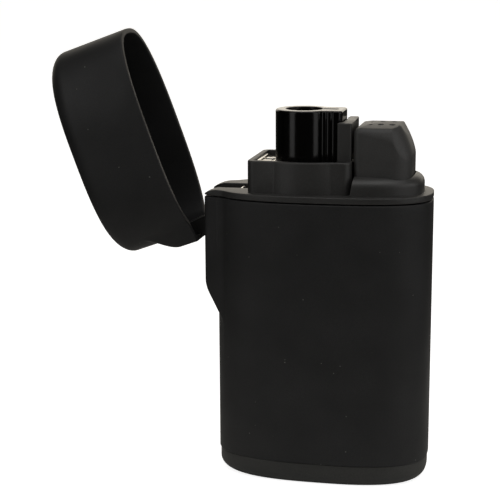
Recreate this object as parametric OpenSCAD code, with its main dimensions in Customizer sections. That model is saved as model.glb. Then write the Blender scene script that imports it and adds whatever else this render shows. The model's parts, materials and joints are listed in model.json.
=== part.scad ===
// Flip-lid jet lighter: oval body, hinged cap, round burner chimney and a
// side thumb button over a piezo igniter.
// +X is the lighter's width away from the hinge, +Y its depth, +Z up.
// The origin is the centre of the flat base. The lid is drawn open.

/* [Body] */
// Width of the oval body
body_w = 35; // [32:0.5:40]
// Depth of the oval body
body_d = 18.5; // [17:0.25:22]
// Squareness of the oval, 2 is an ellipse
oval_power = 2.75; // [2.3:0.05:3.2]
// Height of the seam between body shell and head
shell_top = 46.4; // [44:0.2:50]
// Height of the base cap
base_h = 3.6; // [3:0.2:5]
// Wall of the body shell
shell_wall = 1.2; // [1:0.1:1.6]

/* [Lid] */
// Angle the lid stands open
lid_open = 110; // [0:1:110]
// Height of the lid from rim to dome
lid_h = 14.9; // [14.7:0.1:17]
// Wall of the lid
lid_wall = 0.9; // [0.8:0.1:1]

/* [Head] */
// Height of the chimney's top rim above the base
chimney_top = 60.45; // [59:0.05:60.8]
// Radius of the round chimney
chimney_r = 4.65; // [4.2:0.05:4.7]
// Radius of the flame hole
flame_r = 3.0; // [2.6:0.1:3.2]

/* [Thumb button] */
// Travel of the button
button_travel = 3.0; // [2:0.1:3]
// Height of the button's crown above the base
button_top = 58.6; // [57:0.1:58.8]

/* [Hinge] */
// Radius of the hinge pin
pin_r = 0.8; // [0.6:0.1:1]
// Radius of the lid's knuckle
knuckle_r = 2.2; // [2:0.1:2.4]

/* [Hidden] */

$fn = 48;
eps = 0.01;
oval_points = 72;
half_w = body_w / 2;
half_d = body_d / 2;
run = 0.05;                          // running clearance of shafts
gap = 0.1;                           // clearance of fixed parts

// hinge
hinge_x = 1 - half_w;
hinge_z = shell_top - 3.6;
slot_half = 2.3;                     // half width of the slot the lid's arm swings in
arm_half = slot_half - 0.15;
slot_floor = hinge_z - 3.9;
spine_x = -half_w - 1.7;             // outer face of the hinge spine
spine_foot = 28.2;
nose_r = 4.85;                       // rounding of the head over the hinge, about the pin

// head plate and lid rim
plate_z = shell_top + 0.2;
plate_top = plate_z + 1.0;
rim_z = plate_top + 0.15;
lid_top = rim_z + lid_h;

// burner and well
burner_x = -3.47;
well_left = -11.6;
well_right = 5.0;
well_half = 6.9;
well_wall = 0.95;
well_top = plate_top + 5.15;
bulge_x = -2.6;
bulge_half = 4.65;
bulge_rise = 1.1;
bulge_r = (bulge_half * bulge_half + bulge_rise * bulge_rise) / (2 * bulge_rise);
ext_right = 3.1;                     // right face of the chimney's electrode housing
ext_half = 3.35;
electrode_x = 1.5;
electrode_z = chimney_top - 1.45;
shield_z = well_top - 1.1;

// button and piezo igniter
button_left = 5.25;
button_right = 14.3;
button_half = 5.4;
button_low = 43.6;
guard_top = plate_top + 2.9;
piezo_x = 9.6;
piezo_low = 13.6;
piezo_high = 35.6;
plunger_low = 29.0;
plunger_high = 47.0;
hammer_low = 24.4;
hammer_high = 28.4;
button_corner = 3.0;                 // plan radius of the button's outer corners
press_x = 12.4;                      // leg of the button that works the gas lever
lever_y = -4.4;

// gas lever
lever_x = 0.5;
lever_z = 39.6;
lever_up = 0.5;                      // top of lever bar above its pin

// valves and tank
tank_low = 7.0;
tank_top = 32.0;
cover_top = 33.2;
refill_x = 6.8;
screw_x = 12.4;
flange_z = lever_z + lever_up + 0.1; // underside of the valve stem's flange

// ignition lead, from piezo to electrode
wire_route = [[5.3, 1.6, 34.6], [4.4, 2.2, 36.6], [3.5, 2.6, 39.6],
    [3.0, 2.4, 42.4], [1.9, 1.0, 43.9], [1.5, 0, 44.6]];

// ---- shared shapes ----

function power_cos(t, e) = sign(cos(t)) * pow(abs(cos(t)), e);
function power_sin(t, e) = sign(sin(t)) * pow(abs(sin(t)), e);
function oval(a, b, n = oval_points) =
    [for (i = [0:n - 1]) let (t = 360 * (i + 0.5) / n)
        [a * power_cos(t, 2 / oval_power), b * power_sin(t, 2 / oval_power)]];

module oval_prism(inset, low, high) {
    translate([0, 0, low]) linear_extrude(high - low) polygon(oval(half_w - inset, half_d - inset));
}

module box(x0, x1, y0, y1, z0, z1) {
    translate([x0, y0, z0]) cube([x1 - x0, y1 - y0, z1 - z0]);
}

module post(x, r, z0, z1) {
    translate([x, 0, z0]) cylinder(r = r, h = z1 - z0);
}

module cross_pin(x, z, r, half) {
    translate([x, half, z]) rotate([90, 0, 0]) cylinder(r = r, h = 2 * half);
}

module ring(x, z, r, wire) {
    translate([x, 0, z]) rotate_extrude() translate([r, 0]) circle(r = wire, $fn = 16);
}

// side view outline (X, Z) given thickness along Y
module side_plate(points, half) {
    translate([0, half, 0]) rotate([90, 0, 0]) linear_extrude(2 * half) polygon(points);
}

// tube of radius r swept through rings of points; `across` lies off every stretch
function unit(v) = v / norm(v);
function along(path, i) = unit(path[min(i + 1, len(path) - 1)] - path[max(i - 1, 0)]);
module swept_tube(path, r, across, sides = 6) {
    last = len(path) - 1;
    points = [for (i = [0:last]) let (d = along(path, i), u = unit(cross(across, d)), v = cross(d, u))
        for (j = [0:sides - 1]) path[i] + r * (cos(360 * j / sides) * u + sin(360 * j / sides) * v)];
    skin = [for (i = [0:last - 1], j = [0:sides - 1], half = [0, 1]) let (k = (j + 1) % sides)
        half == 0 ? [i * sides + j, (i + 1) * sides + j, (i + 1) * sides + k]
            : [i * sides + j, (i + 1) * sides + k, i * sides + k]];
    foot = [for (j = [0:sides - 1]) j];
    head = [for (j = [sides - 1:-1:0]) last * sides + j];
    polyhedron(points = points, faces = concat(skin, [foot, head]), convexity = 10);
}

function helix(x, z0, z1, r, turns, steps) =
    [for (i = [0:turns * steps]) let (t = 360 * i / steps)
        [x + r * cos(t), r * sin(t), z0 + (z1 - z0) * i / (turns * steps)]];
module coil(x, z0, z1, r, wire, turns) {
    swept_tube(helix(x, z0 + wire, z1 - wire, r, turns, 10), wire, [0, 0, 1]);
}

// smooth path through hand-placed points
function blend(p, i, t) = let (a = p[max(i - 1, 0)], b = p[i], c = p[i + 1], d = p[min(i + 2, len(p) - 1)])
    0.5 * (2 * b + (c - a) * t + (2 * a - 5 * b + 4 * c - d) * t * t + (3 * b - a - 3 * c + d) * t * t * t);
function smooth(p, n) = concat([for (i = [0:len(p) - 2], k = [0:n - 1]) blend(p, i, k / n)], [p[len(p) - 1]]);

// plan of the hinge spine: a trapezoid on the oval's left end
module spine_plan(outer, inset = 0) {
    root = half_w - 1.75;
    soft = 0.8;
    polygon([[-root, inset - 5.6], [outer + soft + 0.3, inset - 4.45], [outer + 0.25, inset - 4.0],
        [outer, inset - 3.3], [outer, 3.3 - inset], [outer + 0.25, 4.0 - inset],
        [outer + soft + 0.3, 4.45 - inset], [-root, 5.6 - inset], [4 - root, 5.6 - inset],
        [4 - root, inset - 5.6]]);
}

// ---- body ----

module outer_shell() {
    color("#202020") difference() {
        union() {
            oval_prism(0, base_h, shell_top);
            intersection() {
                translate([0, 0, spine_foot]) linear_extrude(shell_top - spine_foot) spine_plan(spine_x);
                side_plate([[-half_w + 1, spine_foot], [-half_w - 0.05, spine_foot],
                    [spine_x + 0.15, spine_foot + 2.8], [spine_x, spine_foot + 3.6], [spine_x, hinge_z + 3.3],
                    [spine_x + 0.3, shell_top], [-half_w + 5, shell_top], [-half_w + 5, spine_foot]], 7);
            }
        }
        difference() {
            oval_prism(shell_wall, base_h - 1, shell_top + 1);
            box(-half_w, hinge_x + 4.1, -5.2, 5.2, slot_floor - 0.9, shell_top + 2);
        }
        box(spine_x - 1, hinge_x + 2.9, -slot_half, slot_half, slot_floor, shell_top + 1);
        cross_pin(hinge_x, hinge_z, pin_r, 4.9);
    }
}

module base_cap() {
    floor_h = 2.2;
    color("#2b2b29") difference() {
        union() {
            hull() {
                oval_prism(0.2, 1.6, base_h);
                oval_prism(0.45, 0.7, 1.6);
                oval_prism(1.5, 0, 0.7);
            }
            oval_prism(shell_wall + gap, base_h - eps, base_h + 2.8);
        }
        oval_prism(shell_wall + 1.3, floor_h, base_h + 4);
        post(refill_x, 2.75, -1, floor_h + 1);
        post(burner_x, 3.1, -1, floor_h + 1);
        for (side = [-1, 1]) {
            post(side * screw_x, 1.0, -1, floor_h + 1);
            post(side * screw_x, 1.95, -1, 1.5);
        }
    }
}

module base_screws() {
    color("#9a9a9a") for (side = [-1, 1]) difference() {
        union() {
            post(side * screw_x, 1.8, 0.5, 1.5);
            post(side * screw_x, 0.85, 1.5 - eps, 6.6);
        }
        box(side * screw_x - 1.2, side * screw_x + 1.2, -0.2, 0.2, 0, 1.0);
        box(side * screw_x - 0.2, side * screw_x + 0.2, -1.2, 1.2, 0, 1.0);
    }
}

// ---- fuel tank and valves ----

tank_inset = shell_wall + 0.4;
pocket_left = piezo_x - 4.1;
pocket_right = piezo_x + 4.1;
pocket_half = 3.4;

module fuel_tank() {
    pocket_floor = piezo_low - 0.1;
    color("#c9d0cc") difference() {
        union() {
            difference() {
                oval_prism(tank_inset, tank_low, tank_top);
                difference() {
                    oval_prism(tank_inset + 1.2, tank_low + 1.2, tank_top + 1);
                    box(pocket_left - 1, half_w, -pocket_half - 1, pocket_half + 1, pocket_floor - 1, tank_top + 2);
                    post(burner_x, 1.9, tank_low, tank_top + 2);
                }
            }
            for (side = [-1, 1]) post(side * screw_x, 1.9, base_h + 0.3, tank_low + eps);
        }
        box(pocket_left, pocket_right, -pocket_half, pocket_half, pocket_floor, tank_top + 3);
        post(burner_x, 1.2, 0, tank_top + 3);
        post(refill_x, 2.42, tank_low - 1, tank_low + 3);
        for (side = [-1, 1]) post(side * screw_x, 0.87, 0, tank_low - 0.1);
    }
}

module tank_cover() {
    color("#b9c0bc") difference() {
        oval_prism(tank_inset, tank_top, cover_top);
        box(pocket_left, pocket_right, -pocket_half, pocket_half, tank_top - 1, cover_top + 1);
        post(burner_x, 2.22, tank_top - 1, cover_top + 1);
    }
}

module refill_valve_body() {
    color("#b08d57") difference() {
        union() {
            post(refill_x, 2.4, 2.5, 10.8);
            post(refill_x, 3.0, 5.8, tank_low);
        }
        post(refill_x, 0.9, 2, 13);
        post(refill_x, 1.7, 4.4, 9.6);
        post(refill_x, 1.4, 2, 3.1);
    }
}

module refill_valve_stem() {
    color("#d0d0d0") difference() {
        union() {
            post(refill_x, 0.9 - run, 2.7, 11.0);
            post(refill_x, 1.6, 4.5, 5.2);
        }
        post(refill_x, 0.3, 2, 3.6);
    }
}

module refill_valve_spring() {
    color("#c0c0c0") coil(refill_x, 5.25, 9.55, 1.3, 0.2, 5);
}

module refill_seal() {
    color("#1c1c1c") ring(refill_x, 5.3, 2.9, 0.45);
}

module flame_adjuster() {
    color("#3a3a38") difference() {
        union() {
            post(burner_x, 3.1 - gap, 0.5, 2.4);
            post(burner_x, 3.7, 2.3, 3.2);
            post(burner_x, 1.2 - run, 3.2 - eps, tank_top + 0.4);
        }
        box(burner_x - 2.4, burner_x + 2.4, -0.4, 0.4, 0, 1.3);
    }
}

module outlet_valve_body() {
    color("#b08d57") difference() {
        union() {
            post(burner_x, 2.2, tank_top - 1.6 + 1.7, cover_top + eps);
            post(burner_x, 2.9, cover_top, 38.4);
        }
        post(burner_x, 1.25, 30, 40);
        ring(burner_x, 35, 2.9, 0.42);
    }
}

module outlet_seal() {
    color("#1c1c1c") ring(burner_x, 35, 2.9, 0.38);
}

module outlet_valve_stem() {
    color("#c8a96a") difference() {
        union() {
            post(burner_x, 1.25 - run, cover_top, flange_z + eps);
            post(burner_x, 2.3, flange_z, flange_z + 0.8);
            post(burner_x, 0.8, flange_z + 0.7, flange_z + 2.4);
        }
        post(burner_x, 0.35, cover_top + 1, flange_z + 3);
    }
}

module outlet_valve_spring() {
    color("#c0c0c0") coil(burner_x, flange_z + 0.82, 45.15, 1.75, 0.22, 4);
}

module gas_hose() {
    color("#d8d4c8") difference() {
        post(burner_x, 1.2, flange_z + 1.3, 45.1);
        post(burner_x, 0.85, flange_z, 46);
    }
}

// ---- gas lever ----

module gas_lever() {
    bar_low = lever_z - 0.7;
    bar_top = lever_z + lever_up;
    color("#8f8f8f") difference() {
        union() {
            cross_pin(lever_x, lever_z, 1.3, 5.4);
            for (side = [-1, 1]) box(burner_x - 0.43, lever_x, side * 1.9 - 0.45, side * 1.9 + 0.45,
                lever_z - 0.5, bar_top);
            box(lever_x, 13.5, lever_y - 0.6, lever_y + 0.6, bar_low, bar_top);
        }
        cross_pin(lever_x, lever_z, 0.6 + run, 6);
    }
}

module lever_pin() {
    color("#c4c4c4") cross_pin(lever_x, lever_z, 0.6, 6.7);
}

// ---- head ----

module chimney_plan(grow = 0) {
    translate([burner_x, 0]) circle(r = chimney_r + grow);
    translate([burner_x, -ext_half - grow]) square([ext_right - burner_x + grow, 2 * (ext_half + grow)]);
}

module well_plan(inset = 0) {
    corner = 0.7;
    x0 = well_left + inset;
    x1 = well_right - inset;
    y = well_half - inset;
    polygon([[x0 + corner, -y], [x1, -y], [x1, y], [x0 + corner, y], [x0, y - corner], [x0, corner - y]]);
    for (side = [-1, 1]) intersection() {
        translate([bulge_x, side * (well_half + bulge_rise - bulge_r)]) circle(r = bulge_r - inset, $fn = 96);
        translate([bulge_x - bulge_half, side > 0 ? 0 : -half_d]) square([2 * bulge_half, half_d]);
    }
}

// plan of the thumb button, square to the burner and round to the outside
module button_plan(grow = 0) {
    centre_x = button_right - button_corner;
    centre_y = button_half - button_corner;
    r = button_corner + grow;
    polygon(concat([[button_left - grow, centre_y + r], [button_left - grow, -centre_y - r]],
        [for (t = [-90:7.5:0]) [centre_x + r * cos(t), -centre_y + r * sin(t)]],
        [for (t = [0:7.5:90]) [centre_x + r * cos(t), centre_y + r * sin(t)]]));
}

// half width of the lid's inside at depth y, and how far its rim then is from the hinge pin
function lid_inside(y) = (half_w - lid_wall)
    * pow(1 - pow(abs(y) / (half_d - lid_wall), oval_power), 1 / oval_power);
function rim_reach(y) = norm([lid_inside(y) - hinge_x, rim_z - hinge_z]);

// space that the lid's rim leaves free as it swings
module lid_sweep(clear) {
    deep = 7;
    translate([hinge_x, 0, hinge_z]) rotate([-90, 0, 0]) rotate_extrude($fn = 96)
        polygon(concat([[0, deep], [0, -deep]], [for (y = [-deep:0.5:deep]) [rim_reach(y) - clear, y]]));
}

module button_opening(z0, z1) {
    translate([0, 0, z0]) linear_extrude(z1 - z0) button_plan(0.15);
}

module hinge_channel() {
    box(spine_x - 1, hinge_x + 4.2, -slot_half, slot_half, slot_floor, plate_top + 2);
}

module head_frame() {
    color("#2d2c2a") difference() {
        union() {
            oval_prism(0, plate_z, plate_top);
            intersection() {
                translate([0, 0, plate_z]) linear_extrude(plate_top - plate_z) spine_plan(spine_x);
                cross_pin(hinge_x, hinge_z, nose_r, 7);
            }
            difference() {
                oval_prism(shell_wall + gap, plate_z - 2.4, plate_z + eps);
                oval_prism(shell_wall + 1.5, plate_z - 3, plate_z);
                box(-half_w, hinge_x + 4.3, -half_d, half_d, plate_z - 3, plate_z);
            }
            translate([0, 0, plate_top - eps]) linear_extrude(well_top - plate_top + eps) difference() {
                well_plan();
                well_plan(well_wall);
            }
            translate([0, 0, plate_top - eps]) linear_extrude(chimney_top - 1.65 - plate_top) difference() {
                polygon([[2.6, -5.2], [4.9, -5.2], [4.7, 5.2], [3.2, 5.2]]);
                chimney_plan(0.15);
            }
            for (side = [-1, 1]) box(lever_x - 1.5, lever_x + 1.5, side * 6.2 - 0.6, side * 6.2 + 0.6,
                lever_z - 1.5, plate_z + eps);
        }
        hinge_channel();
        button_opening(plate_z - 4, plate_top + 1);
        post(burner_x, 2.95, plate_z - 1, plate_top + 1);
        post(electrode_x, 1.0, plate_z - 1, plate_top + 1);
        cross_pin(lever_x, lever_z, 0.62, 7);
    }
}

module button_guard() {
    color("#30302e") difference() {
        intersection() {
            hull() {
                oval_prism(1.5, plate_top, plate_top + 1.3);
                oval_prism(1.9, plate_top + 1.3, plate_top + 2.2);
                oval_prism(3.0, plate_top + 2.2, guard_top);
            }
            box(well_right + 0.02, half_w, -half_d, half_d, plate_top, guard_top + 1);
        }
        button_opening(plate_top - 1, guard_top + 1);
    }
}

module heat_shield() {
    inside = well_wall + 0.1;
    color("#d8d8d6") difference() {
        union() {
            translate([0, 0, shield_z]) linear_extrude(0.3) intersection() {
                well_plan(inside);
                translate([well_left, -well_half]) square([12.6, 2 * well_half]);
            }
            box(well_left + inside, well_left + inside + 0.4, -3.6, 3.6, shield_z, shield_z + 0.8);
        }
        translate([0, 0, shield_z - 1]) linear_extrude(3) chimney_plan(0.15);
        for (y = [-3.0, 0, 3.0]) box(-9.9, -8.6, y - 0.45, y + 0.45, shield_z - 1, shield_z + 0.5);
    }
}

module chimney() {
    foot = plate_top + 0.05;
    color("#161616") difference() {
        translate([0, 0, foot]) linear_extrude(chimney_top - foot) difference() {
            chimney_plan();
            for (x = [-0.1, 1.0, 2.1], side = [-1, 1]) translate([x, side * ext_half]) circle(r = 0.28, $fn = 16);
        }
        post(burner_x, flame_r, foot - 1, chimney_top + 1);
        post(burner_x, 3.5, foot - 1, plate_top + 0.9);
        post(electrode_x, 1.0, foot - 1, electrode_z - 1.6);
        post(electrode_x, 0.5, foot - 1, electrode_z);
        box(burner_x + 2, electrode_x + 0.6, -0.6, 0.6, electrode_z - 0.5, chimney_top + 1);
    }
}

module burner_base() {
    color("#a8a8a4") difference() {
        union() {
            post(burner_x, 2.9, 45.2, plate_top + eps);
            post(burner_x, 3.4, plate_top, plate_top + 0.8);
            post(burner_x, 2.0, plate_top + 0.7, plate_top + 2.0);
            post(burner_x, 0.8, 43.9, 45.2 + eps);
        }
        post(burner_x, 0.35, 43, 46);
        post(burner_x, 0.7, 45.8, 51);
        post(burner_x, 1.1, plate_top + 1.0, 51);
    }
}

module gas_jet() {
    color("#c9a24b") difference() {
        post(burner_x, 1.08, plate_top + 1.0, plate_top + 1.8);
        post(burner_x, 0.15, 48, 50);
    }
}

module burner_tube() {
    tube_low = plate_top + 0.85;
    color("#b8b8b8") difference() {
        post(burner_x, 2.35, tube_low, 57.2);
        post(burner_x, 2.02, tube_low - 1, 58);
        cross_pin(burner_x, plate_top + 3.2, 0.6, 3);
    }
}

module burner_nozzle() {
    color("#8c6b3f") difference() {
        union() {
            post(burner_x, 2.0, 55.6, 57.25);
            post(burner_x, 2.35, 57.2, 57.9);
        }
        post(burner_x, 0.6, 55, 58.5);
        for (i = [0:7]) translate([burner_x, 0, 55]) rotate([0, 0, 45 * i]) translate([1.35, 0, 0])
            cylinder(r = 0.25, h = 4, $fn = 16);
    }
}

module electrode() {
    tip_x = burner_x + 2.2;
    color("#bdbdbd") union() {
        post(electrode_x, 0.33, 45.1, electrode_z);
        translate([electrode_x, 0, electrode_z]) sphere(r = 0.33, $fn = 24);
        translate([tip_x, 0, electrode_z]) rotate([0, 90, 0]) cylinder(r = 0.33, h = electrode_x - tip_x, $fn = 24);
    }
}

module electrode_insulator() {
    color("#e8e4da") difference() {
        post(electrode_x, 0.95, 45.4, electrode_z - 1.7);
        post(electrode_x, 0.35, 44, electrode_z);
    }
}

module ignition_wire() {
    color("#b02a20") swept_tube(smooth(wire_route, 4), 0.4, [0, 1, 0], 8);
}

// ---- thumb button and piezo igniter ----

module piezo_case() {
    half_x = 3.9;
    color("#17181a") difference() {
        box(piezo_x - half_x, piezo_x + half_x, -3.1, 3.1, piezo_low, piezo_high);
        box(piezo_x - 3.15, piezo_x + 3.15, -2.15, 2.15, plunger_low - 3.2, piezo_high + 1);
        post(piezo_x, 1.55, piezo_low + 1.2, plunger_low);
        post(piezo_x, 2.12, piezo_low + 3.4, plunger_low);
    }
}

module piezo_crystal() {
    color("#d9d4c6") post(piezo_x, 1.5, piezo_low + 1.25, 23.0);
}

module piezo_hammer() {
    color("#8e9296") post(piezo_x, 1.4, hammer_low, hammer_high);
}

module piezo_return_spring() {
    color("#c0c0c0") coil(piezo_x, piezo_low + 3.45, plunger_low - 0.05, 1.85, 0.2, 7);
}

module piezo_hammer_spring() {
    color("#c0c0c0") coil(piezo_x, hammer_high + 0.05, 37.9, 1.1, 0.18, 7);
}

module piezo_plunger() {
    color("#2a2c30") difference() {
        box(piezo_x - 3.05, piezo_x + 3.05, -2.05, 2.05, plunger_low, plunger_high);
        post(piezo_x, 1.5, plunger_low - 1, 38);
    }
}

module thumb_button() {
    wall = 1.1;
    crown = 0.8;
    crown_r = (button_half * button_half + crown * crown) / (2 * crown);
    chamfer = [[button_left, button_low], [button_right, button_low], [button_right, button_top - 3.6],
        [button_right - 1.9, button_top - 0.4], [button_right - 2.6, button_top + 0.1],
        [button_left + 0.8, button_top + 0.1], [button_left, button_top - 0.9]];
    color("#302f2d") difference() {
        union() {
            difference() {
                intersection() {
                    side_plate(chamfer, button_half);
                    translate([button_left - 1, 0, button_top - crown_r]) rotate([0, 90, 0])
                        cylinder(r = crown_r, h = 12, $fn = 180);
                    translate([0, 0, button_low]) linear_extrude(20) button_plan();
                    lid_sweep(0.35);
                }
                translate([0, 0, button_low - 1]) linear_extrude(button_top - button_low - 3.2)
                    button_plan(-wall);
                box(button_left + wall, button_right - 2.6 * wall, wall - button_half, button_half - wall,
                    button_low - 1, button_top - 2.2);
            }
            box(piezo_x - 2.6, piezo_x + 2.6, -1.7, 1.7, plunger_high, button_top - 2.1);
            box(press_x - 0.4, press_x + 0.4, lever_y - 0.6, lever_y + 0.6,
                lever_z + lever_up + 0.05, button_low + 1);
        }
        for (x = [7.4, 9.2, 11.0], y = [-2.6, 0, 2.6]) translate([x, y, button_top + 0.2])
            sphere(r = 0.5, $fn = 24);
    }
}

// ---- hinge and lid, drawn closed and then swung open ----

module swing_open() {
    translate([hinge_x, 0, hinge_z]) rotate([0, -lid_open, 0]) translate([-hinge_x, 0, -hinge_z]) children();
}

module hinge_pin() {
    color("#c4c4c4") cross_pin(hinge_x, hinge_z, pin_r, 4.8);
}

module lid_spring() {
    low = slot_floor + 0.1;
    high = plate_top - 0.3;
    bow = 0.36;
    steps = 10;
    face = hinge_x + 2.86;
    function leaf(i) = low + (high - low) * i / steps;
    function bend(i) = face - bow * sin(180 * i / steps);
    color("#cfcfcf") side_plate(concat([for (i = [0:steps]) [bend(i), leaf(i)]],
        [for (i = [steps:-1:0]) [bend(i) - 0.25, leaf(i)]]), 1.8);
}

hump_x = -half_w - 1.4;              // outer face of the lid's hump

module lid_hinge_arm() {
    back = hump_x + lid_wall + 0.02;
    color("#1e1e1e") swing_open() difference() {
        union() {
            cross_pin(hinge_x, hinge_z, knuckle_r, arm_half);
            side_plate([[hinge_x - 2.1, hinge_z + 0.4], [hinge_x + 1.1, hinge_z + 1.8],
                [hinge_x + 0.6, rim_z + 1.8], [back + 1.4, rim_z + 3.0], [back, rim_z + 3.0],
                [back, rim_z - 0.15], [hinge_x - 2.1, rim_z - 0.9]], arm_half);
            box(back, back + 0.8, -2.3, 2.3, rim_z + 0.4, rim_z + 3.3);
        }
        cross_pin(hinge_x, hinge_z, pin_r + run, 4);
    }
}

module lid_dome(inset) {
    top = lid_top - inset;
    sides = inset > 0 ? rim_z - 1 : rim_z;
    hull() {
        oval_prism(inset, sides, top - 3.5);
        oval_prism(inset + 0.25, top - 3.5, top - 2.6);
        oval_prism(inset + 0.85, top - 2.6, top - 1.9);
        oval_prism(inset + 1.7, top - 1.9, top - 1.4);
        oval_prism(inset + 3.2, top - 1.4, top - 0.9);
        oval_prism(inset + 5.6, top - 0.9, top - 0.4);
        oval_prism(inset + 8, top - 0.4, top);
    }
}

module lid_hump(inset) {
    low = inset > 0 ? rim_z - 1 : rim_z;
    fade = rim_z + 8.2 - 2.2 * inset;
    out = hump_x + inset;
    intersection() {
        translate([0, 0, low]) linear_extrude(fade - low) spine_plan(out, inset);
        side_plate([[1 - half_w, low], [out, low], [out, rim_z + 3.4], [out + 0.2, rim_z + 4.3],
            [out + 0.9, rim_z + 5.9 - inset], [-half_w + inset, fade], [1.2 - half_w + inset, fade]], 7);
    }
}

module lid_shell() {
    color("#1f1f1f") swing_open() difference() {
        union() {
            lid_dome(0);
            lid_hump(0);
        }
        lid_dome(lid_wall);
        lid_hump(lid_wall);
    }
}

outer_shell();
base_cap();
base_screws();
fuel_tank();
tank_cover();
refill_valve_body();
refill_valve_stem();
refill_valve_spring();
refill_seal();
flame_adjuster();
outlet_valve_body();
outlet_valve_stem();
outlet_valve_spring();
outlet_seal();
gas_hose();
gas_lever();
lever_pin();
head_frame();
button_guard();
heat_shield();
chimney();
burner_base();
gas_jet();
burner_tube();
burner_nozzle();
electrode();
electrode_insulator();
ignition_wire();
piezo_case();
piezo_crystal();
piezo_hammer();
piezo_return_spring();
piezo_hammer_spring();
piezo_plunger();
thumb_button();
hinge_pin();
lid_spring();
lid_hinge_arm();
lid_shell();
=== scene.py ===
"""Flip-lid jet lighter: its shells, head, burner and finishes, built around the packed frame."""

import json
import math

import bmesh
import bpy
import numpy as np
from bpy.props import FloatProperty, FloatVectorProperty, PointerProperty
from mathutils import Euler, Matrix, Vector


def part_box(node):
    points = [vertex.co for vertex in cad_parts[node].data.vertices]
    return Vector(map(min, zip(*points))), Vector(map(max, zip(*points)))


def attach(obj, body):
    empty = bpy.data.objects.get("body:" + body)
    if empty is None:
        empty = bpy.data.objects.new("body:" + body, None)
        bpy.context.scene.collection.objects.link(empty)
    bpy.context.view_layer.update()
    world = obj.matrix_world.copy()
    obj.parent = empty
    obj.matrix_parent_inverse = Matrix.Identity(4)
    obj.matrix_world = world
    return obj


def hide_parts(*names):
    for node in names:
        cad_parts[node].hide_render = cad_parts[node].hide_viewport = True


bl_info = {
    "name": "Flip-lid jet lighter",
    "version": (1, 0, 0),
    "blender": (4, 5, 0),
    "location": "3D View > Sidebar > Lighter",
    "description": "Builds the visible shells, head and finishes of a flip-lid jet lighter",
    "category": "Object",
}

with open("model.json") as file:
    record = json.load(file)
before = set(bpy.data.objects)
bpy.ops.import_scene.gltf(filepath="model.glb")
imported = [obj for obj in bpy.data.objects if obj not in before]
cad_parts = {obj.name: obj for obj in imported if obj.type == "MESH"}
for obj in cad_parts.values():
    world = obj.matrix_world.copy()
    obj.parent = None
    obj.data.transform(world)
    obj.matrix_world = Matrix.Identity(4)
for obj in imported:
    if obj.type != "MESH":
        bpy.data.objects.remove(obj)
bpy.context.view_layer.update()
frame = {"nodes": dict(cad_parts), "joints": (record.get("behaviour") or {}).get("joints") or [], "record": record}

MM = 0.001

# sizes that the frame fixes
SHELL_LOW, SHELL_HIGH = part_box("outer_shell")
GUARD_LOW, GUARD_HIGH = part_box("button_guard")
CHIMNEY_LOW, CHIMNEY_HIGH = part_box("chimney")
BUTTON_LOW, BUTTON_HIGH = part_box("thumb_button")
HEAD_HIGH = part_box("head_frame")[1]
SHIELD_LOW, SHIELD_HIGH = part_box("heat_shield")
HINGE = Vector(next(j["pos_m"] for j in frame["joints"] if j["name"] == "lid_hinge"))
PLATE_TOP = GUARD_LOW.z
PLATE_LOW = PLATE_TOP - 1.0 * MM
BURNER_X = CHIMNEY_LOW.x + CHIMNEY_HIGH.y
PLUNGER_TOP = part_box("piezo_plunger")[1].z

# rounding profile of an edge, from 0 to a quarter turn
QUARTER = np.linspace(0, math.pi / 2, 6)
DOME_TURN = np.linspace(0, math.pi / 2, 13)

# gap round a piece in its opening
CLEARANCE = 0.15 * MM
# narrow band that keeps a wall straight up to its rounded edge
STRAIGHT = 0.12 * MM

# angles round the body, closer together over the hinge spine
SPINE_SPAN = math.radians(30)
WALL_ANGLES = np.concatenate([
    np.linspace(-math.pi + SPINE_SPAN, math.pi - SPINE_SPAN, 240),
    np.linspace(math.pi - SPINE_SPAN, math.pi + SPINE_SPAN, 190)[1:-1],
])


# ---- sizes and colours ----


def length(name, description, default):
    """A size in metres, for the panel."""
    return FloatProperty(name=name, description=description, default=default, unit="LENGTH")


def angle(name, description, degrees):
    """An angle, for the panel."""
    return FloatProperty(name=name, description=description, default=math.radians(degrees),
                         subtype="ANGLE")


def tone(name, description, default):
    """A colour, for the panel."""
    return FloatVectorProperty(name=name, description=description, default=default,
                               subtype="COLOR")


class LighterBody(bpy.types.PropertyGroup):
    """Sizes of the oval body, its hinge spine and the base."""

    half_width: length("Half width", "From the middle to the end of the oval", SHELL_HIGH.x)
    half_depth: length("Half depth", "From the middle to the flat side of the oval", SHELL_HIGH.y)
    squareness: FloatProperty(
        name="Squareness", description="Power of the oval, 2 is an ellipse", default=2.75)
    wall: length("Wall", "Thickness of the shell", 1.2 * MM)
    spine_reach: length("Spine reach", "From the middle to the outer face of the hinge spine",
                        -SHELL_LOW.x)
    spine_foot: length("Spine foot", "Height at which the spine meets the oval's end", 28.44 * MM)
    spine_slope: FloatProperty(
        name="Spine slope", description="How fast the spine's foot stands out with height",
        default=0.58)
    edge: length("Edge", "Radius of the shell's moulded edges", 0.22 * MM)
    base_round: length("Base rounding", "Height of the rounding under the base", 1.9 * MM)
    base_share: FloatProperty(
        name="Base rounding share", description="Part of the base's radius that is rounded",
        default=0.15, subtype="FACTOR")


class LighterHead(bpy.types.PropertyGroup):
    """Sizes of the burner well, the chimney and the thumb button."""

    well_left: length("Well left", "Outer left face of the burner well", SHIELD_LOW.x - 1.05 * MM)
    well_right: length("Well right", "Outer right face of the burner well", 5.0 * MM)
    well_half: length("Well half depth", "From the middle to the well's flat front", 6.9 * MM)
    well_wall: length("Well wall", "Thickness of the well's wall", 0.95 * MM)
    well_top: length("Well top", "Height of the well's rim", SHIELD_LOW.z + 1.1 * MM)
    chimney_edge: length("Chimney edge", "Radius of the chimney's rim", 0.3 * MM)
    button_crown: length("Button crown", "How much the button's top falls to its sides", 0.75 * MM)
    button_edge: length("Button edge", "Radius of the button's edges", 0.7 * MM)


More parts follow.
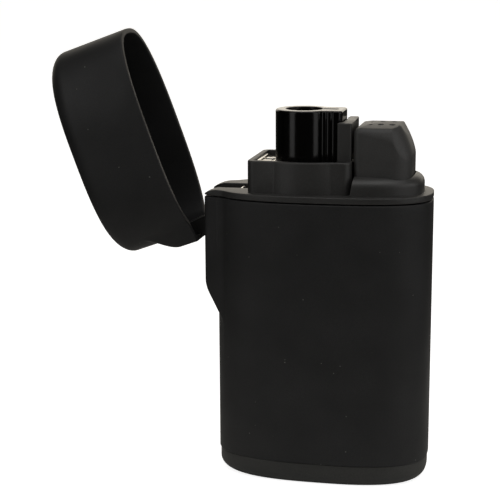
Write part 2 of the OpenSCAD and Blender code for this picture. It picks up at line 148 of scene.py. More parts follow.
class LighterLid(bpy.types.PropertyGroup):
    """Sizes of the hinged cap, as it stands closed."""

    height: length("Height", "From the rim to the top of the dome", 14.9 * MM)
    wall: length("Wall", "Thickness of the cap", 0.9 * MM)
    open_angle: angle("Open angle", "How far the cap stands open at rest", 110)
    dome_round: length("Dome rounding", "Height of the rounding round the dome", 2.3 * MM)
    dome_sag: length("Dome sag", "Fall of the dome from its middle to its rounding", 1.4 * MM)
    hump_reach: length("Hump reach", "From the middle to the face over the hinge", 18.9 * MM)
    edge: length("Rim edge", "Radius of the rim's edges", 0.18 * MM)


class LighterFinishes(bpy.types.PropertyGroup):
    """Colours of the main finishes."""

    soft_touch: tone("Soft-touch coat", "Coat of the body and the lid", (0.0172, 0.0172, 0.0175))
    head: tone("Head plastic", "Bare plastic of the head and the guard", (0.029, 0.0285, 0.0275))
    button: tone("Button plastic", "Plastic of the thumb button", (0.04, 0.0395, 0.0385))
    base: tone("Base plastic", "Plastic of the base cap", (0.024, 0.024, 0.022))
    chimney: tone("Chimney coat", "Glossy black coat of the chimney", (0.002, 0.0019, 0.0018))
    dust: tone("Dust", "Fine dust on the dark shells", (0.11, 0.108, 0.1))


class LighterStage(bpy.types.PropertyGroup):
    """Camera and lights."""

    aim: FloatVectorProperty(
        name="Aim", description="Point that the camera looks at",
        default=(-12.55 * MM, 0, 36.81 * MM), subtype="TRANSLATION", unit="LENGTH")
    distance: length("Distance", "From the camera to its aim", 227.88 * MM)
    turn: angle("Turn", "Camera's turn to the right of the front", 12.30)
    tilt: angle("Tilt", "Camera's height above the horizon", 12.05)
    roll: angle("Roll", "Camera's roll", -0.28)
    lens: FloatProperty(
        name="Lens", description="Focal length in millimetres", default=99.03)
    backdrop: FloatProperty(
        name="Backdrop", description="Light that the room gives off, seen by the object",
        default=0.03)
    glow: FloatProperty(
        name="Glow", description="Light of the bright wall behind the object", default=1.4)


# ---- meshes ----


def smooth_min(a, b, blend):
    """Lesser of two values, rounded where they meet."""
    gap = np.maximum(blend - np.abs(a - b), 0)
    return np.minimum(a, b) - gap * gap / (4 * blend)


def smooth_max(a, b, blend):
    """Greater of two values, rounded where they meet."""
    return -smooth_min(-a, -b, blend)


def ring(angles, radius, z, centre_x=0.0):
    """Points round a vertical line at centre_x, at one height or one height per angle."""
    return np.column_stack([
        centre_x + radius * np.cos(angles), radius * np.sin(angles),
        np.broadcast_to(z, angles.shape)])


def level(outline, z):
    """An outline of (x, y) points lifted to a height, or to one height per point."""
    return np.column_stack([outline, np.broadcast_to(z, len(outline))])


def inset(outline, distance):
    """A closed counterclockwise outline moved inwards; a negative distance grows it."""
    step_in = outline - np.roll(outline, 1, axis=0)
    step_out = np.roll(outline, -1, axis=0) - outline
    sides = []
    for step in (step_in, step_out):
        step = step / np.linalg.norm(step, axis=1)[:, None]
        sides.append(np.column_stack([-step[:, 1], step[:, 0]]))
    lean = 1 + (sides[0] * sides[1]).sum(axis=1)
    return outline + distance * (sides[0] + sides[1]) / lean[:, None]


def rounded(corners, count=7):
    """Outline from counterclockwise (x, y, radius) corners, each turned into an arc."""
    points = []
    for i, (x, y, radius) in enumerate(corners):
        here = Vector((x, y))
        before = (Vector(corners[i - 1][:2]) - here).normalized()
        after = (Vector(corners[(i + 1) % len(corners)][:2]) - here).normalized()
        if radius == 0:
            points.append((x, y))
            continue
        half = before.angle(after) / 2
        middle = here + (before + after).normalized() * radius / math.sin(half)
        start = here + before * radius / math.tan(half) - middle
        end = here + after * radius / math.tan(half) - middle
        first, last = math.atan2(start.y, start.x), math.atan2(end.y, end.x)
        sweep = (last - first + math.pi) % (2 * math.pi) - math.pi
        for k in range(count):
            t = first + sweep * k / (count - 1)
            points.append((middle.x + radius * math.cos(t), middle.y + radius * math.sin(t)))
    return np.array(points)


def skin(name, rings, hoop=False):
    """Solid skinned over rings of equal length: a hoop joins its last ring to its first,
    and anything else is closed by flat ends."""
    count = len(rings[0])
    verts = np.concatenate(rings)
    steps = [(i * count, (i + 1) * count) for i in range(len(rings) - 1)]
    if hoop:
        steps.append(((len(rings) - 1) * count, 0))
    faces = []
    for low, high in steps:
        faces += [(low + i, low + (i + 1) % count, high + (i + 1) % count, high + i)
                  for i in range(count)]
    if not hoop:
        faces += [tuple(range(count)), tuple(range(len(verts) - count, len(verts)))]
    mesh = bpy.data.meshes.new(name)
    mesh.from_pydata(verts.tolist(), [], faces)
    bm = bmesh.new()
    bm.from_mesh(mesh)
    bmesh.ops.recalc_face_normals(bm, faces=bm.faces)
    bm.to_mesh(mesh)
    bm.free()
    piece = bpy.data.objects.new(name, mesh)
    bpy.context.scene.collection.objects.link(piece)
    return piece


def round_top(outline, high, edge):
    """Levels that carry an outline straight up and then round its top edge inwards."""
    rings = [level(outline, high - edge - STRAIGHT)]
    rings += [level(inset(outline, edge * (1 - math.cos(t))), high - edge * (1 - math.sin(t)))
              for t in QUARTER]
    return rings


def prism(name, outline, low, high, edge=0.0, flare=0.0):
    """Upright solid on an outline. Its top edge is rounded by `edge`; as a cutter its top
    flares out by `flare`, which leaves a broken edge where it comes through a face."""
    rings = [level(outline, low)]
    if edge:
        rings += round_top(outline, high, edge)
    elif flare:
        rings += [level(outline, high - 2 * flare), level(inset(outline, -2 * flare), high)]
    else:
        rings.append(level(outline, high))
    return skin(name, rings)


def block(name, low, high):
    """Straight box between two corners, as a cutter."""
    outline = np.array([(low[0], low[1]), (high[0], low[1]), (high[0], high[1]), (low[0], high[1])])
    return prism(name, outline, low[2], high[2])


def rod(name, radius, start, end, sides=32):
    """Straight round rod between two points, as a cutter."""
    start, end = Vector(start), Vector(end)
    turn = (end - start).to_track_quat("Z", "Y").to_matrix()
    angles = np.linspace(0, 2 * math.pi, sides, endpoint=False)
    circle = [turn @ Vector((radius * math.cos(t), radius * math.sin(t), 0)) for t in angles]
    return skin(name, [np.array([start + p for p in circle]), np.array([end + p for p in circle])])


def turned(name, profile, x, sides):
    """Upright round solid about a line at x, from (radius, height) pairs, as a cutter."""
    angles = np.linspace(0, 2 * math.pi, sides, endpoint=False)
    return skin(name, [ring(angles, radius, z, x) for radius, z in profile])


def rounded_box(name, centre, half, low, high, corner, edge=0.0):
    """Upright box with rounded corners about a centre."""
    (x, y), (half_x, half_y) = centre, half
    outline = rounded([(x - half_x, y - half_y, corner), (x + half_x, y - half_y, corner),
                       (x + half_x, y + half_y, corner), (x - half_x, y + half_y, corner)])
    return prism(name, outline, low, high, edge)


def combine(piece, others, operation):
    """Adds other solids to a piece or cuts them out of it, and uses them up."""
    for other in others:
        step = piece.modifiers.new("shape", "BOOLEAN")
        step.operation, step.solver, step.object = operation, "EXACT", other
        graph = bpy.context.evaluated_depsgraph_get()
        made = bpy.data.meshes.new_from_object(piece.evaluated_get(graph))
        piece.modifiers.clear()
        if not made.polygons:
            raise RuntimeError(f"{piece.name} has nothing left after {operation} with {other.name}")
        spent = piece.data
        piece.data = made
        bpy.data.meshes.remove(spent)
        bpy.data.meshes.remove(other.data)
    return piece


def fit(piece, body, slot, stands_for=(), sharp=32):
    """Shades a finished piece, gives it its finish and hangs it on its body."""
    mesh = piece.data
    mesh.name = piece.name
    mesh.shade_smooth()
    mesh.set_sharp_from_angle(angle=math.radians(sharp))
    mesh.materials.clear()
    mesh.materials.append(FINISHES[slot]())
    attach(piece, body)
    if stands_for:
        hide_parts(*stands_for)
    return piece


# ---- outlines that several pieces share ----


def oval(angles, half_w, half_d):
    """Radius of the body's oval at each angle."""
    power = bpy.context.scene.lighter_body.squareness
    across, deep = np.abs(np.cos(angles)) / half_w, np.abs(np.sin(angles)) / half_d
    return (across ** power + deep ** power) ** (-1 / power)


def wall_radius(inward=0.0, reach=0.0):
    """Radius of the wall at each wall angle, set inwards from the outside, where the hinge
    spine stands out to `reach`."""
    body = bpy.context.scene.lighter_body
    plain = oval(WALL_ANGLES, body.half_width - inward, body.half_depth - inward)
    if reach <= 0:
        return plain
    root_x, root_y, taper = 15.75 * MM, 5.6 * MM, 0.3855
    left, side = -np.cos(WALL_ANGLES), np.abs(np.sin(WALL_ANGLES))
    facing = left > math.cos(SPINE_SPAN)
    left = np.where(facing, left, 1.0)
    flank = (root_y + taper * root_x - inward * math.hypot(1, taper)) / (side + taper * left)
    spine = smooth_min((reach - inward) / left, flank, 0.6 * MM)
    return np.where(facing, smooth_max(plain, spine, 0.28 * MM), plain)


def spine_reach(z):
    """How far the hinge spine stands out at a height: it runs out at its foot and rolls over
    the hinge at its top."""
    body = bpy.context.scene.lighter_body
    nose_radius = 4.85 * MM
    foot = body.half_width + (z - body.spine_foot) * body.spine_slope
    above = max(z - HINGE.z, 0)
    nose = -HINGE.x + math.sqrt(max(nose_radius ** 2 - above ** 2, 0))
    out = smooth_min(body.spine_reach, foot, 0.7 * MM)
    return float(smooth_min(out, nose, 0.1 * MM))


def wall_ring(z, inward=0.0, reach=0.0):
    """Ring of the wall at a height."""
    return ring(WALL_ANGLES, wall_radius(inward, reach), z)


def no_spine(z):
    """No spine at any height."""
    return 0.0


def wall_top(z, edge, reach=no_spine, inward=0.0):
    """Rings that round the top edge of the wall, up to height z."""
    heights = [z - edge * (1 - math.sin(t)) for t in QUARTER]
    return [wall_ring(height, inward + edge * (1 - math.cos(t)), reach(height))
            for height, t in zip(heights, QUARTER)]


def wall_foot(z, edge, reach=no_spine):
    """Rings that round the bottom edge of the wall, up from height z."""
    heights = [z + edge * (1 - math.cos(t)) for t in QUARTER]
    return [wall_ring(height, edge * (1 - math.sin(t)), reach(height))
            for height, t in zip(heights, QUARTER)]


def well_outline():
    """Plan of the burner well: a rounded box with a shallow bow on its front and back."""
    head = bpy.context.scene.lighter_head
    bow_x, bow_half, bow_rise = -2.6 * MM, 4.65 * MM, 1.1 * MM
    radius = (bow_half ** 2 + bow_rise ** 2) / (2 * bow_rise)
    span = math.asin(bow_half / radius)
    corner = 1.2 * MM
    right_front = (head.well_right, -head.well_half, corner)
    left_front = (head.well_left, -head.well_half, corner)
    bow = [(bow_x + radius * math.sin(t), head.well_half + bow_rise - radius * (1 - math.cos(t)), 0)
           for t in np.linspace(-span, span, 25)]
    front = [(x, -y, 0) for x, y, _ in bow]
    back = [(x, y, 0) for x, y, _ in reversed(bow)]
    return rounded([left_front, *front, right_front,
                    (head.well_right, head.well_half, corner), *back,
                    (head.well_left, head.well_half, corner)])


def chimney_half():
    """Half depth of the electrode housing on the chimney's right."""
    return 3.35 * MM


def chimney_outline(grow=0.0, reeds=True):
    """Plan of the chimney: a round stack with a reeded housing for the electrode on its right."""
    radius, half = CHIMNEY_HIGH.y + grow, chimney_half() + grow
    right = CHIMNEY_HIGH.x - BURNER_X + grow
    pitch, depth = 0.8375 * MM, 0.17 * MM
    start = math.sqrt(radius ** 2 - half ** 2)
    corner = 0.9 * MM
    face = np.linspace(right - corner, start, 49 if reeds else 9)
    hollow = 1 - np.abs(np.sin(math.pi * (face - start) / pitch)) ** 0.7 if reeds else 0 * face
    upper = np.column_stack([face, half - depth * hollow])
    turn = math.asin(half / radius)
    stack = np.linspace(turn, 2 * math.pi - turn, 97)[1:-1]
    around = radius * np.column_stack([np.cos(stack), np.sin(stack)])
    lower = upper[::-1] * (1, -1)
    turns = np.linspace(0, math.pi / 2, 9)
    arc = corner * np.column_stack([np.sin(turns), 1 - np.cos(turns)])
    front = (right - corner, -half) + arc
    nose = np.column_stack([np.full(7, right), np.linspace(corner - half, half - corner, 9)[1:-1]])
    back = front[::-1] * (1, -1)
    return np.concatenate([upper[1:], around, lower[:-1], front, nose, back]) + (BURNER_X, 0)


def button_outline(grow=0.0):
    """Plan of the thumb button, square to the burner and round to the outside."""
    left, right, half = BUTTON_LOW.x - grow, BUTTON_HIGH.x + grow, BUTTON_HIGH.y + grow
    outer, inner = 3.0 * MM + grow, 0.85 * MM
    return rounded([(left, -half, inner), (right, -half, outer),
                    (right, half, outer), (left, half, inner)], count=13)


# ---- body ----


class LIGHTER_OT_body_shell(bpy.types.Operator):
    """Soft-touch body shell with the hinge spine and the slot for the lid's arm"""

    bl_idname = "lighter.body_shell"
    bl_label = "Body shell"

    def execute(self, context):
        body = context.scene.lighter_body
        low, high, edge = SHELL_LOW.z, SHELL_HIGH.z, body.edge
        foot = np.arange(body.spine_foot - 3 * MM, body.spine_foot + 8.5 * MM, 0.4 * MM)
        walls = [low + 6 * MM, low + 13 * MM, *foot, body.spine_foot + 12 * MM, HINGE.z - 2 * MM,
                 HINGE.z, HINGE.z + 1.2 * MM, HINGE.z + 2.3 * MM]
        rings = wall_foot(low, edge)
        rings += [wall_ring(z, 0, spine_reach(z)) for z in walls]
        rings += wall_top(high, edge, spine_reach)
        rings += [wall_ring(high, body.wall), wall_ring(low, body.wall)]
        shell = skin("moulded_body", rings, hoop=True)
        ear_half, ear_drop, ear_reach = 5.2 * MM, 4.8 * MM, 4.1 * MM
        ears = block("ears", (HINGE.x - 0.5 * MM, -ear_half, HINGE.z - ear_drop),
                     (HINGE.x + ear_reach, ear_half, high - 0.1 * MM))
        combine(shell, [ears], "UNION")
        pin_radius, pin_half = 0.8 * MM, 4.9 * MM
        bore = rod("bore", pin_radius, (HINGE.x, -pin_half, HINGE.z), (HINGE.x, pin_half, HINGE.z))
        combine(shell, [hinge_slot(high, 2.9 * MM), bore], "DIFFERENCE")
        fit(shell, "case", "soft_touch", ["outer_shell"])
        return {"FINISHED"}


def hinge_slot(top, reach):
    """Slot that the lid's arm swings in, from the back of the spine to `reach` past the pin,
    its top edge broken at height `top`."""
    half, chamfer = 2.3 * MM, 0.14 * MM
    left, right = SHELL_LOW.x - 1.5 * MM, HINGE.x + reach
    floor = HINGE.z - 3.9 * MM
    plan = np.array([(left, -half), (right, -half), (right, half), (left, half)])
    return skin("slot", [level(plan, floor), level(plan, top - chamfer),
                         level(inset(plan, -2 * chamfer), top + chamfer),
                         level(inset(plan, -2 * chamfer), top + 3 * MM)])


class LIGHTER_OT_base_cap(bpy.types.Operator):
    """Base cap with its rounded underside, gas ports and screw recesses"""

    bl_idname = "lighter.base_cap"
    bl_label = "Base cap"

    def execute(self, context):
        body = context.scene.lighter_body
        side, edge, top = 0.17 * MM, 0.14 * MM, SHELL_LOW.z
        flat = 1 - body.base_share
        rings = [ring(WALL_ANGLES, share * wall_radius(side), 0) for share in (0.08, 0.5, flat)]
        for t in DOME_TURN[1:]:
            share = flat + (1 - flat) * math.sin(t)
            rings.append(ring(WALL_ANGLES, share * wall_radius(side),
                              body.base_round * (1 - math.cos(t))))
        rings += wall_top(top, edge, inward=side)
        lip = body.wall + 0.1 * MM
        floor, lip_top = 2.2 * MM, top + 2.8 * MM
        rings += [wall_ring(top, lip), wall_ring(lip_top, lip), wall_ring(lip_top, lip + 1.2 * MM),
                  wall_ring(floor, lip + 1.2 * MM), ring(WALL_ANGLES, 0.08 * wall_radius(side), floor)]
        cap = skin("moulded_base", rings)
        combine(cap, self.ports(), "DIFFERENCE")
        fit(cap, "case", "base_plastic", ["base_cap"])
        return {"FINISHED"}

    def ports(self):
        """Refill port, adjuster port and two screw recesses, each with a broken edge."""
        refill_low, refill_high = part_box("refill_valve_body")
        _, screws_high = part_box("base_screws")
        refill_x = (refill_low.x + refill_high.x) / 2
        head_r = screws_high.y
        screw_x = screws_high.x - head_r
        holes = [(refill_x, 2.75 * MM, 3 * MM), (BURNER_X, 3.1 * MM, 3 * MM)]
        for side in (-1, 1):
            holes += [(side * screw_x, head_r + CLEARANCE, 1.5 * MM),
                      (side * screw_x, 1.0 * MM, 3 * MM)]
        broken = 0.2 * MM
        return [turned("port", [(radius + 3 * broken, -2 * broken), (radius, broken),
                                (radius, depth)], x, 64) for x, radius, depth in holes]


# ---- head ----


class LIGHTER_OT_head_housing(bpy.types.Operator):
    """Head moulding: collar plate, burner well and the tab beside the chimney"""

    bl_idname = "lighter.head_housing"
    bl_label = "Head housing"

    def execute(self, context):
        head = self.plate(context)
        combine(head, [self.well(context), self.tab()], "UNION")
        opening = button_outline(CLEARANCE)
        bore = 2.95 * MM
        burner = turned("burner_hole", [(bore, PLATE_LOW - MM), (bore, PLATE_TOP + MM)],
                        BURNER_X, 48)
        tongue = block("tongue", (SHELL_LOW.x, -SHELL_HIGH.y, PLATE_LOW - 3 * MM),
                       (HINGE.x + 4.3 * MM, SHELL_HIGH.y, PLATE_LOW - 0.02 * MM))
        cutters = [prism("opening", opening, PLATE_LOW - 4 * MM, PLATE_TOP + MM), burner, tongue,
                   hinge_slot(PLATE_TOP, 4.2 * MM)]
        combine(head, cutters, "DIFFERENCE")
        fit(head, "case", "head_plastic", ["head_frame"])
        return {"FINISHED"}

    def plate(self, context):
        """Collar plate that carries the shell's outline, with the ring that plugs into it."""
        body = context.scene.lighter_body
        edge = 0.16 * MM
        plug_in, plug_low = body.wall + 0.1 * MM, PLATE_LOW - 2.4 * MM
        rings = [wall_ring(PLATE_LOW, 8 * MM), wall_ring(PLATE_LOW, plug_in + 1.4 * MM),
                 wall_ring(plug_low, plug_in + 1.4 * MM), wall_ring(plug_low, plug_in),
                 wall_ring(PLATE_LOW, plug_in)]
        rings += wall_foot(PLATE_LOW, edge, spine_reach)
        rings += [wall_ring(z, 0, spine_reach(z))
                  for z in np.linspace(PLATE_LOW + edge, PLATE_TOP - edge, 6)[1:-1]]
        rings += wall_top(PLATE_TOP, edge, spine_reach)
        rings.append(wall_ring(PLATE_TOP, 8 * MM))
        return skin("moulded_head", rings)

    def well(self, context):
        """Upright wall round the burner, its rim rounded."""
        head = context.scene.lighter_head
        outline, wall, edge = well_outline(), head.well_wall, 0.2 * MM
        low, high = PLATE_TOP - 0.3 * MM, head.well_top
        rings = [level(outline, low), *round_top(outline, high, edge)]
        rings += [level(inset(outline, wall - edge * (1 - math.sin(t))),
                        high - edge * (1 - math.cos(t))) for t in QUARTER]
        rings += [level(inset(outline, wall), z) for z in (high - edge - STRAIGHT, low)]
        return skin("well", rings, hoop=True)

    def tab(self):
        """Tab between the chimney and the button, fitted round the electrode housing."""
        low, high = PLATE_TOP - 0.25 * MM, HEAD_HIGH.z
        housing = CHIMNEY_HIGH.x + CLEARANCE
        half = chimney_half() + CLEARANCE
        corners = [(2.6, -5.2, 0.3), (4.9, -5.2, 0.3), (4.7, 5.2, 0.3), (3.2, 5.2, 0.3)]
        outline = rounded([(x * MM, y * MM, r * MM) for x, y, r in corners]
                          + [(3.1 * MM, half, 0), (housing, half, 0), (housing, -half, 0),
                             (2.7 * MM, -half, 0)])
        return prism("tab", outline, low, high, edge=0.18 * MM)


class LIGHTER_OT_button_guard(bpy.types.Operator):
    """Sloping guard round the thumb button"""

    bl_idname = "lighter.button_guard"
    bl_label = "Button guard"

    def execute(self, context):
        body = context.scene.lighter_body
        side = body.half_width - GUARD_HIGH.x
        half_w, half_d = body.half_width - side, body.half_depth - side
        shoulder = PLATE_TOP + 1.3 * MM
        across, deep = 1.5 * MM, 2.1 * MM
        angles = np.linspace(0, 2 * math.pi, 240, endpoint=False)
        rings = [ring(angles, oval(angles, half_w, half_d), PLATE_TOP)]
        for t in DOME_TURN:
            fall = 1 - math.cos(t)
            z = shoulder + (GUARD_HIGH.z - shoulder) * math.sin(t)
            rings.append(ring(angles, oval(angles, half_w - across * fall, half_d - deep * fall), z))
        guard = skin("moulded_guard", rings)
        face = GUARD_LOW.x
        slope = 0.17
        left = skin("left", [
            level(np.array([(-SHELL_HIGH.x, -20 * MM), (x, -20 * MM), (x, 20 * MM),
                            (-SHELL_HIGH.x, 20 * MM)]), z)
            for z, x in ((PLATE_TOP - MM, face - slope * MM),
                         (GUARD_HIGH.z + MM, face + slope * (GUARD_HIGH.z + MM - PLATE_TOP)))])
        opening = button_outline(CLEARANCE)
        opening[:, 0] = np.where(opening[:, 0] < BUTTON_LOW.x + MM, opening[:, 0] - MM, opening[:, 0])
        cut = prism("opening", opening, PLATE_TOP - MM, GUARD_HIGH.z + 0.12 * MM, flare=0.12 * MM)
        combine(guard, [left, cut], "DIFFERENCE")
        fit(guard, "case", "head_plastic", ["button_guard"])
        return {"FINISHED"}


class LIGHTER_OT_thumb_button(bpy.types.Operator):
    """Thumb button with its crown, sloping outer face and grip dimples"""

    bl_idname = "lighter.thumb_button"
    bl_label = "Thumb button"

    def execute(self, context):
        head = context.scene.lighter_head
        outline, edge = button_outline(), head.button_edge
        low = PLATE_TOP - 4.0 * MM
        middle = np.array(((BUTTON_LOW.x + BUTTON_HIGH.x) / 2, 0))
        wall = 1.1 * MM
        hollow = inset(outline, wall)
        ceiling = PLUNGER_TOP + 0.05 * MM
        rings = [level(middle + 0.1 * (hollow - middle), ceiling), level(hollow, ceiling),
                 level(hollow, low), level(outline, low),
                 level(outline, self.top(outline) - edge - STRAIGHT)]
        for t in DOME_TURN:
            fall = edge * (1 - math.cos(t))
            moved = inset(outline, fall)
            rings.append(level(moved, self.top(moved) - edge * (1 - math.sin(t))))
        last = rings[-1][:, :2]
        for share in np.linspace(1, 0.06, 24)[1:]:
            moved = middle + share * (last - middle)
            rings.append(level(moved, self.top(moved)))
        button = skin("moulded_button", rings)
        combine(button, self.dimples(), "DIFFERENCE")
        fit(button, "button", "button_plastic", ["thumb_button"])
        return {"FINISHED"}

    def top(self, points):
        """Height of the button's top: a crown, a slope on its outer end, and room for the
        lid's rim to swing past."""
        head = bpy.context.scene.lighter_head
        x, y = points[:, 0], points[:, 1]
        crown_top, steep = BUTTON_HIGH.z, 1.684
        crown = crown_top - head.button_crown * (y / BUTTON_HIGH.y) ** 2
        knee_x, knee_z = BUTTON_HIGH.x - 1.85 * MM, crown_top - 0.4 * MM
        slope = knee_z - steep * (x - knee_x)
        left = crown_top - 0.75 * MM + 1.1 * (x - BUTTON_LOW.x)
        swing = np.sqrt(np.maximum(self.rim_reach(y) ** 2 - (x - HINGE.x) ** 2, 0)) + HINGE.z
        top = smooth_min(smooth_min(crown, slope, 0.35 * MM), left, 0.3 * MM)
        return smooth_min(top, swing, 0.1 * MM)

    def rim_reach(self, y):
        """How far the lid's rim keeps from the hinge pin at depth y, less a clearance."""
        body, lid = bpy.context.scene.lighter_body, bpy.context.scene.lighter_lid
        clear = 0.4 * MM
        deep = (np.abs(y) / (body.half_depth - lid.wall)) ** body.squareness
        inside = (body.half_width - lid.wall) * (1 - deep) ** (1 / body.squareness)
        return np.hypot(inside - HINGE.x, rim_height() - HINGE.z) - clear

    def dimples(self):
        """Three rows of three shallow round dimples."""
        first_x, pitch_x, pitch_y, radius, depth = 7.4 * MM, 1.8 * MM, 2.6 * MM, 0.62 * MM, 0.27 * MM
        angles = np.linspace(0, 2 * math.pi, 20, endpoint=False)
        cutters = []
        for column in range(3):
            for row in (-1, 0, 1):
                x, y = first_x + column * pitch_x, row * pitch_y
                z = self.top(np.array([(x, y)]))[0] - depth
                rings = [ring(angles, radius * math.sin(t), z + radius * (1 - math.cos(t)), x)
                         + (0, y, 0) for t in np.linspace(0.15, math.pi - 0.15, 12)]
                cutters.append(skin("dimple", rings))
        return cutters


class LIGHTER_OT_chimney(bpy.types.Operator):
    """Glossy burner chimney with its flame hole, electrode slot and reeded housing"""

    bl_idname = "lighter.chimney"
    bl_label = "Chimney"

    def execute(self, context):
        edge = context.scene.lighter_head.chimney_edge
        outline = chimney_outline()
        low, high, bore, foot_bore = CHIMNEY_LOW.z, CHIMNEY_HIGH.z, 3.0 * MM, 3.5 * MM
        angles = np.arctan2(outline[:, 1], outline[:, 0] - BURNER_X)
        rings = [level(outline, low), *round_top(outline, high, edge)]
        lip = 0.16 * MM
        rings += [ring(angles, bore + lip * (1 - math.sin(t)), high - lip * (1 - math.cos(t)),
                       BURNER_X) for t in QUARTER]
        rings += [ring(angles, bore, low + 1.1 * MM, BURNER_X),
                  ring(angles, foot_bore, low + MM, BURNER_X), ring(angles, foot_bore, low, BURNER_X)]
        chimney = skin("gloss_chimney", rings, hoop=True)
        pin_low, pin_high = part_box("electrode")
        pin_x = pin_high.x - (pin_high.y - pin_low.y) / 2
        tip = pin_high.z - (pin_high.y - pin_low.y) / 2
        seat = turned("seat", [(MM, low - MM), (MM, tip - 1.6 * MM)], pin_x, 32)
        pin_bore = 0.5 * MM
        bore_up = turned("bore_up", [(pin_bore, tip - 2 * MM), (pin_bore, tip)], pin_x, 32)
        half, lead = 0.6 * MM, 0.12 * MM
        plan = rounded([(BURNER_X + 2 * MM, -half, 0), (pin_x + half, -half, half * 0.98),
                        (pin_x + half, half, half * 0.98), (BURNER_X + 2 * MM, half, 0)], count=9)
        slot = skin("slot", [level(plan, tip - 0.5 * MM), level(plan, high - lead),
                             level(inset(plan, -2 * lead), high + lead)])
        combine(chimney, [seat, bore_up, slot], "DIFFERENCE")
        fit(chimney, "case", "gloss_black", ["chimney"], sharp=28)
        return {"FINISHED"}


class LIGHTER_OT_heat_shield(bpy.types.Operator):
    """Bright stamped plate in the well, with vents and a turned-up lip"""

    bl_idname = "lighter.heat_shield"
    bl_label = "Heat shield"

    def execute(self, context):
        head = context.scene.lighter_head
        sheet = 0.3 * MM
        low = SHIELD_LOW.z
        plan = inset(well_outline(), head.well_wall + 0.1 * MM)
        shield = prism("stamped_shield", plan, low, low + sheet, edge=0.06 * MM)
        lip_left = SHIELD_LOW.x
        lip = prism("lip", rounded([
            (x, y, 0.12 * MM) for x, y in ((lip_left, -3.6 * MM), (lip_left + 0.4 * MM, -3.6 * MM),
                                           (lip_left + 0.4 * MM, 3.6 * MM), (lip_left, 3.6 * MM))]),
            low + 0.05 * MM, SHIELD_HIGH.z, edge=0.1 * MM)
        pad_places = ((-9.3, -1.5), (-9.3, 1.5), (-7.4, 4.6), (-7.4, -4.6))
        pads = [rounded_box("pad", (x * MM, y * MM), (0.75 * MM, 0.6 * MM), low + 0.1 * MM,
                            low + sheet + 0.22 * MM, 0.3 * MM, edge=0.15 * MM)
                for x, y in pad_places]
        combine(shield, [lip, *pads], "UNION")
        right = block("right", (1.0 * MM, -20 * MM, low - MM), (20 * MM, 20 * MM, low + 2 * MM))
        stack = prism("stack", chimney_outline(CLEARANCE, reeds=False), low - MM, low + 2 * MM)
        vent_places = ((-9.25, -3), (-9.25, 0), (-9.25, 3), (-7.6, 3.3), (-7.6, -3.3))
        vents = [rounded_box("vent", (x * MM, y * MM), (0.65 * MM, 0.42 * MM), low - MM,
                             low + 2 * MM, 0.2 * MM) for x, y in vent_places]
        combine(shield, [right, stack, *vents], "DIFFERENCE")
        fit(shield, "case", "bright_steel", ["heat_shield"])
        return {"FINISHED"}


# ---- lid ----


def rim_height():
    """Height of the lid's rim when it is closed."""
    return PLATE_TOP + CLEARANCE


class LIGHTER_OT_lid(bpy.types.Operator):
    """Soft-touch cap with its dome and the hump over the hinge, standing open"""

    bl_idname = "lighter.lid"
    bl_label = "Lid"

    def execute(self, context):
        lid = context.scene.lighter_lid
        low, edge = rim_height(), lid.edge
        outside, inside = self.dome(0), self.dome(lid.wall)
        shoulder = low + lid.height - lid.dome_sag - lid.dome_round
        humps = np.arange(low + 2.9 * MM, low + 10.5 * MM, 0.35 * MM)
        heights = [shoulder - 0.5 * MM, *[z for z in humps[::-1] if z < shoulder - 0.6 * MM],
                   low + 1.6 * MM]
        rings = outside
        rings += [wall_ring(z, 0, self.hump(z)) for z in heights]
        rings += [wall_ring(low + edge * (1 - math.sin(t)), edge * (1 - math.cos(t)), lid.hump_reach)
                  for t in QUARTER]
        rings += [wall_ring(low + edge * (1 - math.cos(t)), lid.wall - edge * (1 - math.sin(t)),
                            lid.hump_reach) for t in QUARTER]
        rings += [wall_ring(z, lid.wall, self.hump(z + 0.8 * MM)) for z in heights[::-1]
                  if z < shoulder - lid.wall]
        rings += inside[::-1]
        cap = skin("moulded_lid", rings)
        cap.data.transform(swing(lid.open_angle))
        fit(cap, "lid", "soft_touch", ["lid_shell"])
        return {"FINISHED"}

    def hump(self, z):
        """How far the lid stands out over the hinge at a height: full near the rim, then it
        falls back into the wall."""
        lid = bpy.context.scene.lighter_lid
        start, end, sunk = rim_height() + 3.15 * MM, rim_height() + 9.75 * MM, 15.4 * MM
        t = min(max((z - start) / (end - start), 0), 1)
        return lid.hump_reach + (sunk - lid.hump_reach) * t * t * (3 - 2 * t)

    def dome(self, inward):
        """Rings from the middle of the dome to the top of the wall, set inwards."""
        lid = bpy.context.scene.lighter_lid
        body = bpy.context.scene.lighter_body
        top = rim_height() + lid.height - inward
        flat = 1 - 3.6 * MM / body.half_width
        rings = []
        for share in [*np.linspace(0.06, flat, 8)[:-1], *(flat + (1 - flat) * np.sin(DOME_TURN))]:
            drop = lid.dome_sag * share ** 2
            beyond = max(share - flat, 0) / (1 - flat)
            drop += lid.dome_round * (1 - math.sqrt(max(1 - beyond ** 2, 0)))
            rings.append(ring(WALL_ANGLES, share * wall_radius(inward), top - drop))
        return rings


def swing(turn):
    """Turn about the hinge pin that opens the lid."""
    to_pin = Matrix.Translation(HINGE)
    return to_pin @ Matrix.Rotation(-turn, 4, "Y") @ to_pin.inverted()


# ---- finishes ----


